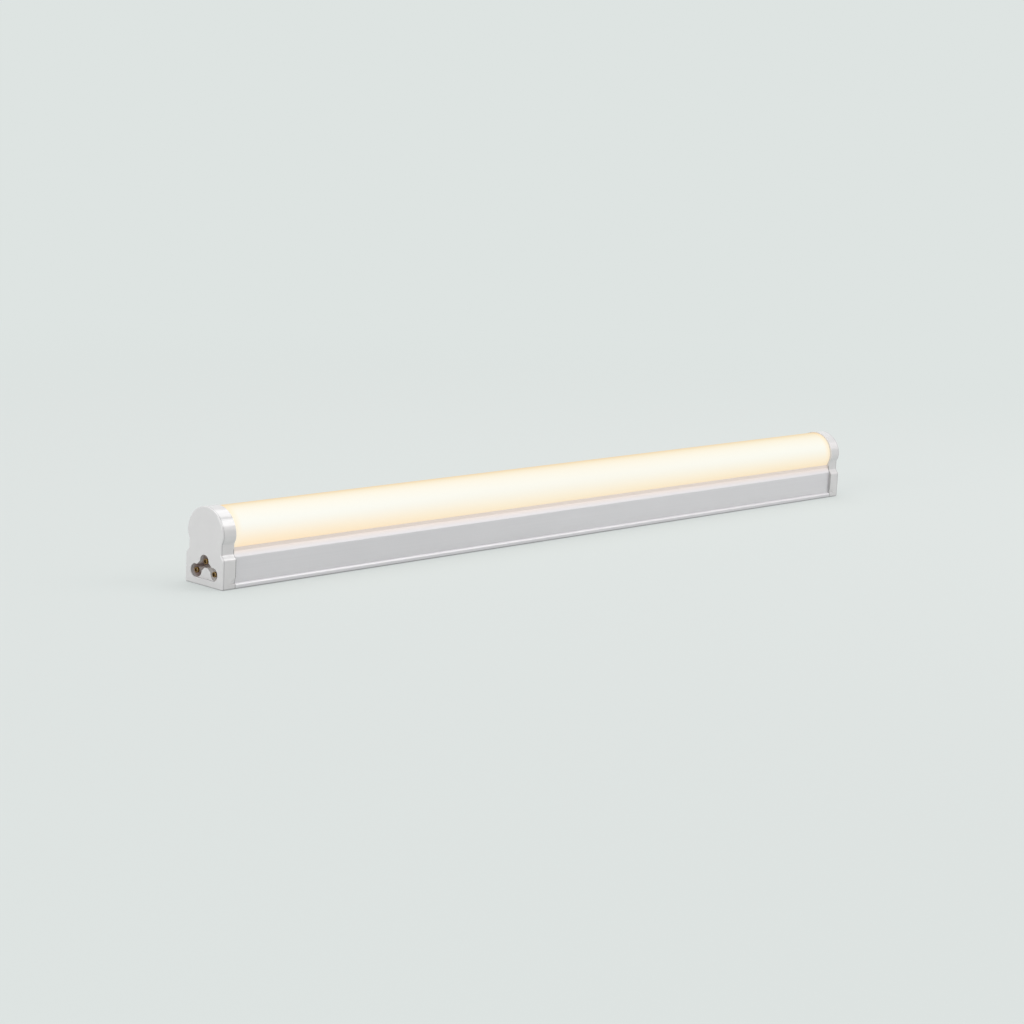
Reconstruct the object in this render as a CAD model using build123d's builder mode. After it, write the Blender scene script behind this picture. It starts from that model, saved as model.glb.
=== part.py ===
"""Slim linkable LED batten: an extruded body under an opal cover, between two socketed end caps.

The length runs along X, the light leaves upwards along +Z, and the origin is the middle of the
underside. The section is worked out from the inside: the socket sets the room that its housing
needs, and the walls, lip and caps follow around it. Sizes are in millimetres.
"""

import os
from math import atan2, cos, degrees, pi, radians, sin, sqrt, tan

from build123d import *

# Overall length and the end caps
LENGTH = 450.0
CAP_DEPTH = 7.5
CAP_WALL = 1.8
CAP_END_WALL = 2.0
CAP_FACE_ROUNDING = 0.6
CAP_SOFTENING = 2.0
CAP_DOME_PROUD = 1.0
CAP_DOME_DROP = 0.6
CAP_HAUNCH_ANGLE = 3.5
CAP_NECK_INSET = 0.65
CAP_NECK_RISE = 4.3
CAP_NECK_DROP = 0.6
CAP_FLARE_HEIGHT = 2.1
SCOOP_LENGTH = 4.0
SCOOP_DEPTH = 0.8
SCOOP_HEIGHT = 3.0

# Socket in each end cap
PIN_SPREAD = 12.0
PIN_RISE = 4.8
LOBE_RADIUS = 3.0
ARM_WIDTH = 3.4
SOCKET_DEPTH = 8.0
SOCKET_FLOOR = 1.5
SOCKET_REAR_POCKET = 3.5
HOUSING_WALL = 0.9
PLUG_CLEARANCE = 0.2
ISLAND_SETBACK = 1.2

# Brass contacts and the plate that holds them
CONTACT_RADIUS = 1.25
CONTACT_BORE_RADIUS = 0.8
CONTACT_BORE_DEPTH = 9.0
CONTACT_SETBACK = 0.5
CONTACT_MOUTH_CHAMFER = 0.15
CONTACT_FIT = 0.05
COLLAR_RADIUS = 2.2
COLLAR_THICKNESS = 1.2
SOLDER_CUP_RADIUS = 1.6
SOLDER_CUP_REACH = 4.0
RETAINER_THICKNESS = 2.0
RETAINER_CLEARANCE = 0.1

# Extruded body
PROFILE_WALL = 1.3
FLOOR_THICKNESS = 1.2
UNDERSIDE_RECESS = 0.8
RAIL_WIDTH = 4.0
LIP_PROJECTION = 1.1
LIP_HEIGHT = 2.5
LIP_ROUNDING = 0.6
FOOT_ROUNDING = 0.8
DECK_THICKNESS = 1.2
RIDGE_SETBACK = 0.05
RIDGE_WIDTH = 0.5
SHOULDER_DROP = 2.1
SHOULDER_ROUNDING = 5.0
ROOM_ROUNDING = 0.8
RIB_THICKNESS = 0.8
RIB_OVERHANG = 0.8
RIB_LIP_THICKNESS = 0.6

# Opal cover
COVER_RADIUS = 11.0
COVER_WALL = 1.2
COVER_WAIST_ANGLE = 32.0
COVER_FOOT_HEIGHT = 1.7
COVER_END_GAP = 0.15
FOOT_CLEARANCE = 0.15
BARB_REACH = 0.4
BARB_HEIGHT = 0.8

# LED board
LED_BOARD_THICKNESS = 1.0
LED_BOARD_SETBACK = 2.0
LED_BOARD_CLEARANCE = 0.15
LED_PITCH = 10.0
LED_LENGTH = 3.5
LED_WIDTH = 2.8
LED_HEIGHT = 0.8
LED_EDGE_MARGIN = 8.0

# Wiring
WIRE_RADIUS = 0.7
LEAD_RADIUS = 0.6
WIRE_CLEARANCE = 0.3
WIRE_PAIR_OFFSET = 0.75
WIRE_STRAIGHT = 7.0
WIRE_BEND_RUN = 12.0
LEAD_STRAIGHT = 5.0
LEAD_BEND_RUN = 11.0
LEAD_OVERLAP = 6.0

# Earth clip on the end of the deck
CLIP_THICKNESS = 0.4
CLIP_WIDTH = 2.4
CLIP_UPPER_LEAF = 1.6
CLIP_LOWER_LEAF = 13.0

# LED driver in its insulating sleeve
DRIVER_LENGTH = 130.0
DRIVER_START = 40.0
SLEEVE_WALL = 0.4
SLEEVE_ROUNDING = 1.0
DRIVER_BOARD_THICKNESS = 1.2
DRIVER_BOARD_CLEARANCE = 0.1
DRIVER_BOARD_SETBACK = 2.0

# Driver components: sizes, and where they stand as shares of the board's length from its left end
FUSE_RADIUS = 1.2
FUSE_LENGTH = 7.0
FUSE_SHARE = 0.15
BRIDGE_LENGTH = 4.7
BRIDGE_WIDTH = 3.9
BRIDGE_HEIGHT = 1.6
BRIDGE_SHARE = 0.24
FILM_LENGTH = 10.0
FILM_WIDTH = 4.5
FILM_HEIGHT = 7.0
FILM_SHARE = 0.33
CHOKE_FLANGE_RADIUS = 4.0
CHOKE_CORE_RADIUS = 3.0
CHOKE_FLANGE_THICKNESS = 1.0
CHOKE_HEIGHT = 7.0
CHOKE_SHARE = 0.45
STORAGE_RADIUS = 3.15
STORAGE_LENGTH = 12.0
STORAGE_CRIMP_RADIUS = 2.85
STORAGE_CRIMP_LENGTH = 1.0
STORAGE_SHARE = 0.60
CHIP_LENGTH = 4.9
CHIP_WIDTH = 3.9
CHIP_HEIGHT = 1.5
CHIP_BEVEL = 0.3
CHIP_SHARE = 0.75
RESISTOR_LENGTH = 3.2
RESISTOR_WIDTH = 1.6
RESISTOR_HEIGHT = 0.6
RESISTOR_PITCH = 4.0
RESISTOR_SHARE = 0.84

# Corners this near in height count as level
SAME_HEIGHT = 0.001

# Room inside the body, worked out from the socket housing
housing_half = PIN_SPREAD / 2 + LOBE_RADIUS + HOUSING_WALL
room_half = housing_half + PLUG_CLEARANCE
room_floor = UNDERSIDE_RECESS + FLOOR_THICKNESS
low_pin_height = room_floor + PLUG_CLEARANCE + HOUSING_WALL + LOBE_RADIUS
top_pin_height = low_pin_height + PIN_RISE
room_ceiling = top_pin_height + LOBE_RADIUS + HOUSING_WALL + PLUG_CLEARANCE
deck_height = room_ceiling + DECK_THICKNESS

# Outside of the body
panel_half = room_half + PROFILE_WALL
lip_half = panel_half + LIP_PROJECTION
cap_half = lip_half

# Cover: a round arch that ends in two upright feet
foot_outer = COVER_RADIUS * cos(radians(COVER_WAIST_ANGLE))
foot_inner = foot_outer - COVER_WALL
foot_bottom = deck_height + FOOT_CLEARANCE
foot_top = foot_bottom + COVER_FOOT_HEIGHT
dome_height = foot_top + COVER_RADIUS * sin(radians(COVER_WAIST_ANGLE))

# Deck: ridges and shoulders beside the cover, grooves for its feet and for the LED board
ridge_inner = foot_outer + FOOT_CLEARANCE
ridge_outer = ridge_inner + RIDGE_WIDTH
ridge_top = foot_top - RIDGE_SETBACK
shoulder_height = ridge_top - SHOULDER_DROP
barb_pocket = foot_outer + BARB_REACH + FOOT_CLEARANCE
barb_ceiling = foot_bottom + BARB_HEIGHT + FOOT_CLEARANCE
rib_outer = foot_inner - FOOT_CLEARANCE
rib_inner = rib_outer - RIB_THICKNESS
rib_lip = rib_inner - RIB_OVERHANG
board_half = rib_inner - LED_BOARD_CLEARANCE
board_top = deck_height + LED_BOARD_THICKNESS
slot_top = board_top + LED_BOARD_CLEARANCE
rib_top = slot_top + RIB_LIP_THICKNESS

# End cap outline
cap_dome_radius = COVER_RADIUS + CAP_DOME_PROUD
cap_dome_height = dome_height - CAP_DOME_DROP
neck_half = panel_half - CAP_NECK_INSET
neck_top = shoulder_height + CAP_NECK_RISE
neck_bottom = shoulder_height - CAP_NECK_DROP
flare_height = neck_bottom - CAP_FLARE_HEIGHT

# Stations along the length
left_face = -LENGTH / 2
profile_length = LENGTH - 2 * CAP_DEPTH
profile_half_length = profile_length / 2
housing_depth = SOCKET_DEPTH + SOCKET_FLOOR + SOCKET_REAR_POCKET
contact_length = housing_depth - CONTACT_SETBACK + SOLDER_CUP_REACH
wire_half_length = LENGTH / 2 - CONTACT_SETBACK - contact_length
led_board_half_length = profile_half_length - LED_BOARD_SETBACK
driver_left = left_face + DRIVER_START
driver_right = driver_left + DRIVER_LENGTH

# Driver: the sleeve leaves room for a wire at each side and one above
wire_lane = 2 * WIRE_RADIUS + 2 * WIRE_CLEARANCE
sleeve_half = room_half - wire_lane
sleeve_top = room_ceiling - wire_lane
side_lane = room_half - WIRE_CLEARANCE - WIRE_RADIUS
top_lane = room_ceiling - WIRE_CLEARANCE - WIRE_RADIUS
driver_board_half = sleeve_half - SLEEVE_ROUNDING - DRIVER_BOARD_CLEARANCE
driver_board_bottom = room_floor + SLEEVE_WALL
driver_board_top = driver_board_bottom + DRIVER_BOARD_THICKNESS
driver_board_left = driver_left + DRIVER_BOARD_SETBACK
driver_board_right = driver_right - DRIVER_BOARD_SETBACK
board_lead_height = driver_board_top + LEAD_RADIUS
led_lead_lane = LOBE_RADIUS + HOUSING_WALL + WIRE_CLEARANCE + LEAD_RADIUS

PIN_PLACES = {
    "line": (-PIN_SPREAD / 2, low_pin_height),
    "neutral": (PIN_SPREAD / 2, low_pin_height),
    "earth": (0.0, top_pin_height),
}


def save(piece: Part, name: str) -> None:
    """Label a finished piece and write it under its own name."""
    piece.label = name
    export_step(piece, f"parts/{name}.step")
    print(name)


def between(corners: ShapeList[Vertex], low: float, high: float) -> ShapeList[Vertex]:
    """The corners of a section whose height lies in a range, its ends included."""
    return corners.filter_by_position(Axis.Y, low - SAME_HEIGHT, high + SAME_HEIGHT)


def cap_outline(inset: float) -> Sketch:
    """Outline of an end cap, a dome on a neck that flares to the foot, inset from the outside."""
    radius = cap_dome_radius - inset
    neck = neck_half - inset
    side = cap_half - inset
    haunch_angle = radians(CAP_HAUNCH_ANGLE)
    haunch = (radius * cos(haunch_angle), cap_dome_height + radius * sin(haunch_angle))
    with BuildSketch() as outline:
        with BuildLine():
            Polyline(
                (0, inset),
                (side, inset),
                (side, flare_height),
                (neck, neck_bottom),
                (neck, neck_top),
            )
            TangentArc(haunch, (neck, neck_top), tangent=(sin(haunch_angle), -cos(haunch_angle)))
            ThreePointArc(
                haunch,
                (radius * cos(pi / 4), cap_dome_height + radius * sin(pi / 4)),
                (0, cap_dome_height + radius),
            )
            mirror(about=Plane.YZ)
        make_face()
        fillet(between(outline.vertices(), flare_height, neck_top), CAP_SOFTENING)
        bottom_corners = between(outline.vertices(), inset, inset).sort_by(Axis.X)
        fillet([bottom_corners[0], bottom_corners[-1]], FOOT_ROUNDING)
    return outline.sketch


def socket_outline(wall: float) -> Sketch:
    """Three round lobes joined by two arms like a roof, grown by a wall all round."""
    arm_length = sqrt((PIN_SPREAD / 2) ** 2 + PIN_RISE**2)
    arm_middle = low_pin_height + PIN_RISE / 2
    arm_slope = degrees(atan2(PIN_RISE, PIN_SPREAD / 2))
    with BuildSketch() as outline:
        with Locations(*PIN_PLACES.values()):
            Circle(LOBE_RADIUS + wall)
        for side in (-1, 1):
            with Locations((side * PIN_SPREAD / 4, arm_middle)):
                SlotCenterToCenter(arm_length, ARM_WIDTH + 2 * wall, rotation=-side * arm_slope)
    return outline.sketch


def island_outline() -> Sketch:
    """The field under the roof of the socket, with a straight lower edge between the lobes."""
    with BuildSketch() as outline:
        with BuildLine():
            Polyline(
                (-PIN_SPREAD / 2, low_pin_height - LOBE_RADIUS),
                (PIN_SPREAD / 2, low_pin_height - LOBE_RADIUS),
                (PIN_SPREAD / 2, low_pin_height),
                (0, top_pin_height),
                (-PIN_SPREAD / 2, low_pin_height),
                close=True,
            )
        make_face()
    return outline.sketch


def across(station: float) -> Plane:
    """The plane across the batten at a station along X, with Y to its right and Z up."""
    return Plane.YZ.offset(station)


def bend_radii(points: list[tuple[float, float, float]]) -> list[float]:
    """The largest bend at each inner point of a route that its two runs leave room for."""
    share = 0.45
    radii = []
    for before, here, after in zip(points, points[1:], points[2:]):
        run_in = Vector(here) - Vector(before)
        run_out = Vector(after) - Vector(here)
        half_turn = radians(run_in.get_angle(run_out)) / 2
        radii.append(share * min(run_in.length, run_out.length) / tan(half_turn))
    return radii


def wire(name: str, radius: float, points: list[tuple[float, float, float]]) -> None:
    """A round insulated wire along straight runs joined by tangent bends."""
    with BuildPart() as strand:
        with BuildLine() as route:
            FilletPolyline(*points, radius=bend_radii(points))
        with BuildSketch(Plane(origin=route.line @ 0, z_dir=route.line % 0)):
            Circle(radius)
        sweep(path=route.line)
    save(strand.part, name)


def contact(name: str, side: int, place: tuple[float, float]) -> None:
    """A turned brass socket tube: bore, tube, collar behind the socket floor, solder cup."""
    front = side * (LENGTH / 2 - CONTACT_SETBACK)
    inward = Plane(origin=(front, *place), x_dir=(0, 1, 0), z_dir=(-side, 0, 0))
    collar_start = SOCKET_DEPTH + SOCKET_FLOOR - CONTACT_SETBACK
    with BuildPart() as tube:
        with BuildSketch(inward):
            Circle(CONTACT_RADIUS)
        extrude(amount=collar_start)
        with BuildSketch(inward.offset(collar_start)):
            Circle(COLLAR_RADIUS)
        extrude(amount=COLLAR_THICKNESS)
        with BuildSketch(inward.offset(collar_start + COLLAR_THICKNESS)):
            Circle(SOLDER_CUP_RADIUS)
        extrude(amount=contact_length - collar_start - COLLAR_THICKNESS)
        with BuildSketch(inward):
            Circle(CONTACT_BORE_RADIUS)
        extrude(amount=CONTACT_BORE_DEPTH, mode=Mode.SUBTRACT)
        mouth = tube.faces().sort_by(Axis.X)[-1 if side > 0 else 0]
        chamfer(mouth.outer_wire().edges(), CONTACT_MOUTH_CHAMFER)
    save(tube.part, name)


def retainer(name: str, side: int) -> None:
    """The plate pressed in behind the contact collars, with a hole for each solder cup."""
    front = LENGTH / 2 - SOCKET_DEPTH - SOCKET_FLOOR - COLLAR_THICKNESS
    station = -front if side < 0 else front - RETAINER_THICKNESS
    with BuildPart() as plate:
        with BuildSketch(across(station)):
            add(socket_outline(-RETAINER_CLEARANCE))
            with Locations(*PIN_PLACES.values()):
                Circle(SOLDER_CUP_RADIUS + CONTACT_FIT, mode=Mode.SUBTRACT)
        extrude(amount=RETAINER_THICKNESS)
    save(plate.part, name)


def board_station(share: float) -> float:
    """Where a share of the driver board's length from its left end lies along X."""
    return driver_board_left + share * (driver_board_right - driver_board_left)


def board_spot(share: float) -> Plane:
    """A place on the middle line of the driver board's top, by its share of the length."""
    return Plane(origin=(board_station(share), 0, driver_board_top))


def board_block(name: str, share: float, length: float, width: float, height: float) -> None:
    """A moulded component with a bevelled top that stands flat on the driver board."""
    with BuildPart() as block:
        with BuildSketch(board_spot(share)):
            Rectangle(length, width)
        extrude(amount=height)
        chamfer(block.faces().sort_by(Axis.Z)[-1].edges(), CHIP_BEVEL)
    save(block.part, name)


os.makedirs("parts", exist_ok=True)

# Extruded body: rails and lips below, panels, shoulders, and a deck with grooves on top
with BuildPart() as base_profile:
    with BuildSketch(across(-profile_half_length)) as profile_section:
        with BuildLine():
            Polyline(
                (0, UNDERSIDE_RECESS),
                (lip_half - RAIL_WIDTH, UNDERSIDE_RECESS),
                (lip_half - RAIL_WIDTH, 0),
                (lip_half, 0),
                (lip_half, LIP_HEIGHT),
                (panel_half, LIP_HEIGHT),
                (panel_half, shoulder_height),
                (ridge_outer, ridge_top),
                (ridge_inner, ridge_top),
                (ridge_inner, barb_ceiling),
                (barb_pocket, barb_ceiling),
                (barb_pocket, deck_height),
                (rib_outer, deck_height),
                (rib_outer, rib_top),
                (rib_lip, rib_top),
                (rib_lip, slot_top),
                (rib_inner, slot_top),
                (rib_inner, deck_height),
                (0, deck_height),
            )
            mirror(about=Plane.YZ)
        make_face()
        lip_corners = between(profile_section.vertices(), LIP_HEIGHT, LIP_HEIGHT).sort_by(Axis.X)
        fillet([lip_corners[0], lip_corners[-1]], LIP_ROUNDING)
        bottom_corners = between(profile_section.vertices(), 0, 0).sort_by(Axis.X)
        fillet([bottom_corners[0], bottom_corners[-1]], FOOT_ROUNDING)
        shoulders = between(profile_section.vertices(), shoulder_height, shoulder_height)
        fillet(shoulders, SHOULDER_ROUNDING)
        with Locations((0, (room_floor + room_ceiling) / 2)):
            RectangleRounded(2 * room_half, room_ceiling - room_floor, ROOM_ROUNDING, mode=Mode.SUBTRACT)
    extrude(amount=profile_length)
save(base_profile.part, "base_profile")

# Opal cover: a thin round arch on two barbed feet
with BuildPart() as diffuser_cover:
    cover_half_length = profile_half_length - COVER_END_GAP
    with BuildSketch(across(-cover_half_length)):
        with Locations((0, dome_height)):
            Circle(COVER_RADIUS)
            Circle(COVER_RADIUS - COVER_WALL, mode=Mode.SUBTRACT)
        with Locations((0, foot_top)):
            Rectangle(2 * COVER_RADIUS, 2 * COVER_RADIUS, align=(Align.CENTER, Align.MAX), mode=Mode.SUBTRACT)
        with BuildLine():
            Polyline(
                (foot_inner, foot_bottom),
                (foot_outer, foot_bottom),
                (foot_outer + BARB_REACH, foot_bottom + BARB_HEIGHT / 2),
                (foot_outer + BARB_REACH, foot_bottom + BARB_HEIGHT),
                (foot_outer, foot_bottom + BARB_HEIGHT),
                (foot_outer, foot_top),
                (foot_inner, foot_top),
                close=True,
            )
        right_foot = make_face()
        mirror(right_foot, about=Plane.YZ)
    extrude(amount=2 * cover_half_length)
save(diffuser_cover.part, "diffuser_cover")

# End cap: a cup with the arched outline, its socket housing reaching into the body
with BuildPart() as left_end_cap:
    with BuildSketch(across(left_face)):
        add(cap_outline(0))
    extrude(amount=CAP_DEPTH)
    fillet(left_end_cap.faces().sort_by(Axis.X)[0].edges(), CAP_FACE_ROUNDING)
    with BuildSketch(across(left_face + CAP_END_WALL)):
        add(cap_outline(CAP_WALL))
    extrude(amount=CAP_DEPTH, mode=Mode.SUBTRACT)
    with BuildSketch(across(left_face + CAP_END_WALL)):
        add(socket_outline(HOUSING_WALL))
    extrude(amount=housing_depth - CAP_END_WALL)
    with BuildSketch(across(left_face)):
        add(socket_outline(0))
    extrude(amount=SOCKET_DEPTH, mode=Mode.SUBTRACT)
    with BuildSketch(across(left_face)):
        add(island_outline())
    extrude(amount=ISLAND_SETBACK, mode=Mode.SUBTRACT)
    with BuildSketch(across(left_face + SOCKET_DEPTH)):
        with Locations(*PIN_PLACES.values()):
            Circle(CONTACT_RADIUS + CONTACT_FIT)
    extrude(amount=SOCKET_FLOOR, mode=Mode.SUBTRACT)
    with BuildSketch(across(left_face + SOCKET_DEPTH + SOCKET_FLOOR)):
        add(socket_outline(0))
    extrude(amount=SOCKET_REAR_POCKET, mode=Mode.SUBTRACT)
    # Run-out scoops: the rounded edge of the lip goes on into each side of the cap and fades out
    rim = left_face + CAP_DEPTH
    scoop_edge = LIP_HEIGHT - LIP_ROUNDING
    scoop_top = LIP_HEIGHT + SCOOP_HEIGHT
    for side in (-1, 1):
        with BuildSketch(across(rim)):
            with BuildLine():
                Polyline(
                    (side * cap_half, scoop_edge),
                    (side * (cap_half + SCOOP_DEPTH), scoop_edge),
                    (side * (cap_half + SCOOP_DEPTH), scoop_top),
                    (side * cap_half, scoop_top),
                    (side * (cap_half - SCOOP_DEPTH), LIP_HEIGHT),
                    (side * (cap_half - LIP_ROUNDING), LIP_HEIGHT),
                )
                RadiusArc(
                    (side * (cap_half - LIP_ROUNDING), LIP_HEIGHT),
                    (side * cap_half, scoop_edge),
                    side * LIP_ROUNDING,
                )
            make_face()
        outward = (-SCOOP_LENGTH, side * SCOOP_DEPTH, 0)
        extrude(amount=sqrt(SCOOP_LENGTH**2 + SCOOP_DEPTH**2), dir=outward, mode=Mode.SUBTRACT)
save(left_end_cap.part, "left_end_cap")

with BuildPart() as right_end_cap:
    mirror(left_end_cap.part, about=Plane.YZ)
save(right_end_cap.part, "right_end_cap")

# Contacts and their retainers at both ends
for end_name, end_side in (("left", -1), ("right", 1)):
    for pole, pin_place in PIN_PLACES.items():
        contact(f"{end_name}_{pole}_contact", end_side, pin_place)
    retainer(f"{end_name}_contact_retainer", end_side)

# LED board on the deck, and its row of LEDs
with BuildPart() as led_board:
    with BuildSketch(Plane.XY.offset(deck_height)):
        Rectangle(2 * led_board_half_length, 2 * board_half)
    extrude(amount=LED_BOARD_THICKNESS)
save(led_board.part, "led_board")

led_count = int(2 * (led_board_half_length - LED_EDGE_MARGIN) / LED_PITCH) + 1
with BuildPart() as led_chips:
    with BuildSketch(Plane.XY.offset(board_top)):
        with GridLocations(LED_PITCH, LED_PITCH, led_count, 1):
            Rectangle(LED_LENGTH, LED_WIDTH)
    extrude(amount=LED_HEIGHT)
save(led_chips.part, "led_chips")

# Insulating sleeve of the driver, lying on the floor of the room
with BuildPart() as driver_sleeve:
    with BuildSketch(across(driver_left)):
        sleeve_height = sleeve_top - room_floor
        with Locations((0, room_floor + sleeve_height / 2)):
            RectangleRounded(2 * sleeve_half, sleeve_height, SLEEVE_ROUNDING)
            RectangleRounded(
                2 * (sleeve_half - SLEEVE_WALL),
                sleeve_height - 2 * SLEEVE_WALL,
                SLEEVE_ROUNDING - SLEEVE_WALL,
                mode=Mode.SUBTRACT,
            )
    extrude(amount=DRIVER_LENGTH)
save(driver_sleeve.part, "driver_sleeve")

with BuildPart() as driver_board:
    with BuildSketch(Plane((driver_left + DRIVER_LENGTH / 2, 0, driver_board_bottom))):
        Rectangle(driver_board_right - driver_board_left, 2 * driver_board_half)
    extrude(amount=DRIVER_BOARD_THICKNESS)
save(driver_board.part, "driver_board")

# Driver components
with BuildPart() as fuse_resistor:
    with BuildSketch(across(board_station(FUSE_SHARE) - FUSE_LENGTH / 2)):
        with Locations((0, driver_board_top + FUSE_RADIUS)):
            Circle(FUSE_RADIUS)
    extrude(amount=FUSE_LENGTH)
save(fuse_resistor.part, "fuse_resistor")

board_block("bridge_rectifier", BRIDGE_SHARE, BRIDGE_LENGTH, BRIDGE_WIDTH, BRIDGE_HEIGHT)
board_block("film_capacitor", FILM_SHARE, FILM_LENGTH, FILM_WIDTH, FILM_HEIGHT)

with BuildPart() as choke_coil:
    with BuildSketch(board_spot(CHOKE_SHARE)):
        Circle(CHOKE_FLANGE_RADIUS)
    extrude(amount=CHOKE_FLANGE_THICKNESS)
    with BuildSketch(board_spot(CHOKE_SHARE)):
        Circle(CHOKE_CORE_RADIUS)
    extrude(amount=CHOKE_HEIGHT)
    with BuildSketch(board_spot(CHOKE_SHARE).offset(CHOKE_HEIGHT - CHOKE_FLANGE_THICKNESS)):
        Circle(CHOKE_FLANGE_RADIUS)
    extrude(amount=CHOKE_FLANGE_THICKNESS)
save(choke_coil.part, "choke_coil")

with BuildPart() as storage_capacitor:
    can_start = board_station(STORAGE_SHARE) - STORAGE_LENGTH / 2
    can_axis = driver_board_top + STORAGE_RADIUS
    with BuildSketch(Plane.XZ):
        with BuildLine():
            Polyline(
                (can_start, can_axis),
                (can_start, can_axis + STORAGE_RADIUS),
                (can_start + STORAGE_CRIMP_LENGTH, can_axis + STORAGE_RADIUS),
                (can_start + STORAGE_CRIMP_LENGTH, can_axis + STORAGE_CRIMP_RADIUS),
                (can_start + 2 * STORAGE_CRIMP_LENGTH, can_axis + STORAGE_CRIMP_RADIUS),
                (can_start + 2 * STORAGE_CRIMP_LENGTH, can_axis + STORAGE_RADIUS),
                (can_start + STORAGE_LENGTH, can_axis + STORAGE_RADIUS),
                (can_start + STORAGE_LENGTH, can_axis),
                close=True,
            )
        make_face()
    revolve(axis=Axis((0, 0, can_axis), (1, 0, 0)))
save(storage_capacitor.part, "storage_capacitor")

board_block("driver_chip", CHIP_SHARE, CHIP_LENGTH, CHIP_WIDTH, CHIP_HEIGHT)

with BuildPart() as sense_resistors:
    with BuildSketch(board_spot(RESISTOR_SHARE)):
        with GridLocations(RESISTOR_PITCH, RESISTOR_PITCH, 2, 2):
            Rectangle(RESISTOR_LENGTH, RESISTOR_WIDTH)
    extrude(amount=RESISTOR_HEIGHT)
save(sense_resistors.part, "sense_resistors")

# Through wiring from socket to socket, round the driver
bend_start = wire_half_length - WIRE_STRAIGHT
bend_end = bend_start - WIRE_BEND_RUN
for pole, side in (("line", -1), ("neutral", 1)):
    cup_lane = side * (PIN_SPREAD / 2 + WIRE_PAIR_OFFSET)
    lane = side * side_lane
    wire(
        f"{pole}_wire",
        WIRE_RADIUS,
        [
            (-wire_half_length, cup_lane, low_pin_height),
            (-bend_start, cup_lane, low_pin_height),
            (-bend_end, lane, low_pin_height),
            (bend_end, lane, low_pin_height),
            (bend_start, cup_lane, low_pin_height),
            (wire_half_length, cup_lane, low_pin_height),
        ],
    )

wire(
    "earth_wire",
    WIRE_RADIUS,
    [
        (-wire_half_length, -WIRE_PAIR_OFFSET, top_pin_height),
        (-bend_start, -WIRE_PAIR_OFFSET, top_pin_height),
        (-bend_end, -WIRE_PAIR_OFFSET, top_lane),
        (bend_end, -WIRE_PAIR_OFFSET, top_lane),
        (bend_start, -WIRE_PAIR_OFFSET, top_pin_height),
        (wire_half_length, -WIRE_PAIR_OFFSET, top_pin_height),
    ],
)

# Mains feed from the left socket onto the driver board
for pole, side in (("line", -1), ("neutral", 1)):
    lane = side * (PIN_SPREAD / 2 - WIRE_PAIR_OFFSET)
    wire(
        f"driver_{pole}_lead",
        LEAD_RADIUS,
        [
            (-wire_half_length, lane, low_pin_height),
            (-wire_half_length + LEAD_STRAIGHT, lane, low_pin_height),
            (-wire_half_length + LEAD_STRAIGHT + LEAD_BEND_RUN, lane, board_lead_height),
            (driver_board_left + LEAD_OVERLAP, lane, board_lead_height),
        ],
    )

# Feed from the driver to the LED board: along the floor, over the right socket, round the deck
floor_lane = room_floor + LEAD_RADIUS
rise_start = bend_end - 3 * LEAD_BEND_RUN
over_socket = room_ceiling - WIRE_CLEARANCE - LEAD_RADIUS
turn_station = profile_half_length + (CAP_DEPTH - CAP_END_WALL) / 2
for pole, side in (("positive", -1), ("negative", 1)):
    lane = side * led_lead_lane
    wire(
        f"led_{pole}_lead",
        LEAD_RADIUS,
        [
            (driver_board_right - LEAD_OVERLAP, lane, board_lead_height),
            (driver_right + LEAD_STRAIGHT, lane, board_lead_height),
            (driver_right + LEAD_STRAIGHT + LEAD_BEND_RUN, lane, floor_lane),
            (rise_start, lane, floor_lane),
            (rise_start + LEAD_BEND_RUN, lane, over_socket),
            (turn_station, lane, over_socket),
            (turn_station, lane, board_top + LEAD_RADIUS),
            (led_board_half_length - LEAD_OVERLAP, lane, board_top + LEAD_RADIUS),
        ],
    )

# Earth of the body: a clip sprung over the end of the deck, and its lead
with BuildPart() as earth_clip:
    clip_end = -profile_half_length
    with BuildSketch(Plane.XZ.offset(-led_lead_lane + CLIP_WIDTH / 2)):
        with BuildLine():
            Polyline(
                (clip_end, room_ceiling),
                (clip_end + CLIP_LOWER_LEAF, room_ceiling),
                (clip_end + CLIP_LOWER_LEAF, room_ceiling - CLIP_THICKNESS),
                (clip_end - CLIP_THICKNESS, room_ceiling - CLIP_THICKNESS),
                (clip_end - CLIP_THICKNESS, deck_height + CLIP_THICKNESS),
                (clip_end + CLIP_UPPER_LEAF, deck_height + CLIP_THICKNESS),
                (clip_end + CLIP_UPPER_LEAF, deck_height),
                (clip_end, deck_height),
                close=True,
            )
        make_face()
    extrude(amount=-CLIP_WIDTH)
save(earth_clip.part, "earth_clip")

clip_lane = room_ceiling - CLIP_THICKNESS - LEAD_RADIUS
loop_start = -wire_half_length + LEAD_STRAIGHT
loop_reach = 2 * LEAD_RADIUS + WIRE_CLEARANCE
loop_rise = clip_lane - top_pin_height
wire(
    "earth_bond_lead",
    LEAD_RADIUS,
    [
        (-wire_half_length, WIRE_PAIR_OFFSET, top_pin_height),
        (loop_start, WIRE_PAIR_OFFSET, top_pin_height),
        (loop_start + loop_reach, WIRE_PAIR_OFFSET + loop_reach, top_pin_height + loop_rise / 3),
        (loop_start + loop_reach, led_lead_lane - loop_reach, clip_lane - loop_rise / 3),
        (loop_start, led_lead_lane, clip_lane),
        (clip_end + CLIP_LOWER_LEAF - LEAD_OVERLAP, led_lead_lane, clip_lane),
    ],
)
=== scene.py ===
"""Dresses the LED batten: a smooth lit cover and body over its CAD frame, finishes, light and camera.

The length runs along X and the light leaves along +Z. Sizes are in millimetres where a field says nothing
else, and meshes are in metres. Colours are linear.
"""

import logging
from collections.abc import Callable, Mapping, Sequence
from dataclasses import dataclass, field
from enum import Enum
from math import cos, pi, radians, sin

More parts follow.
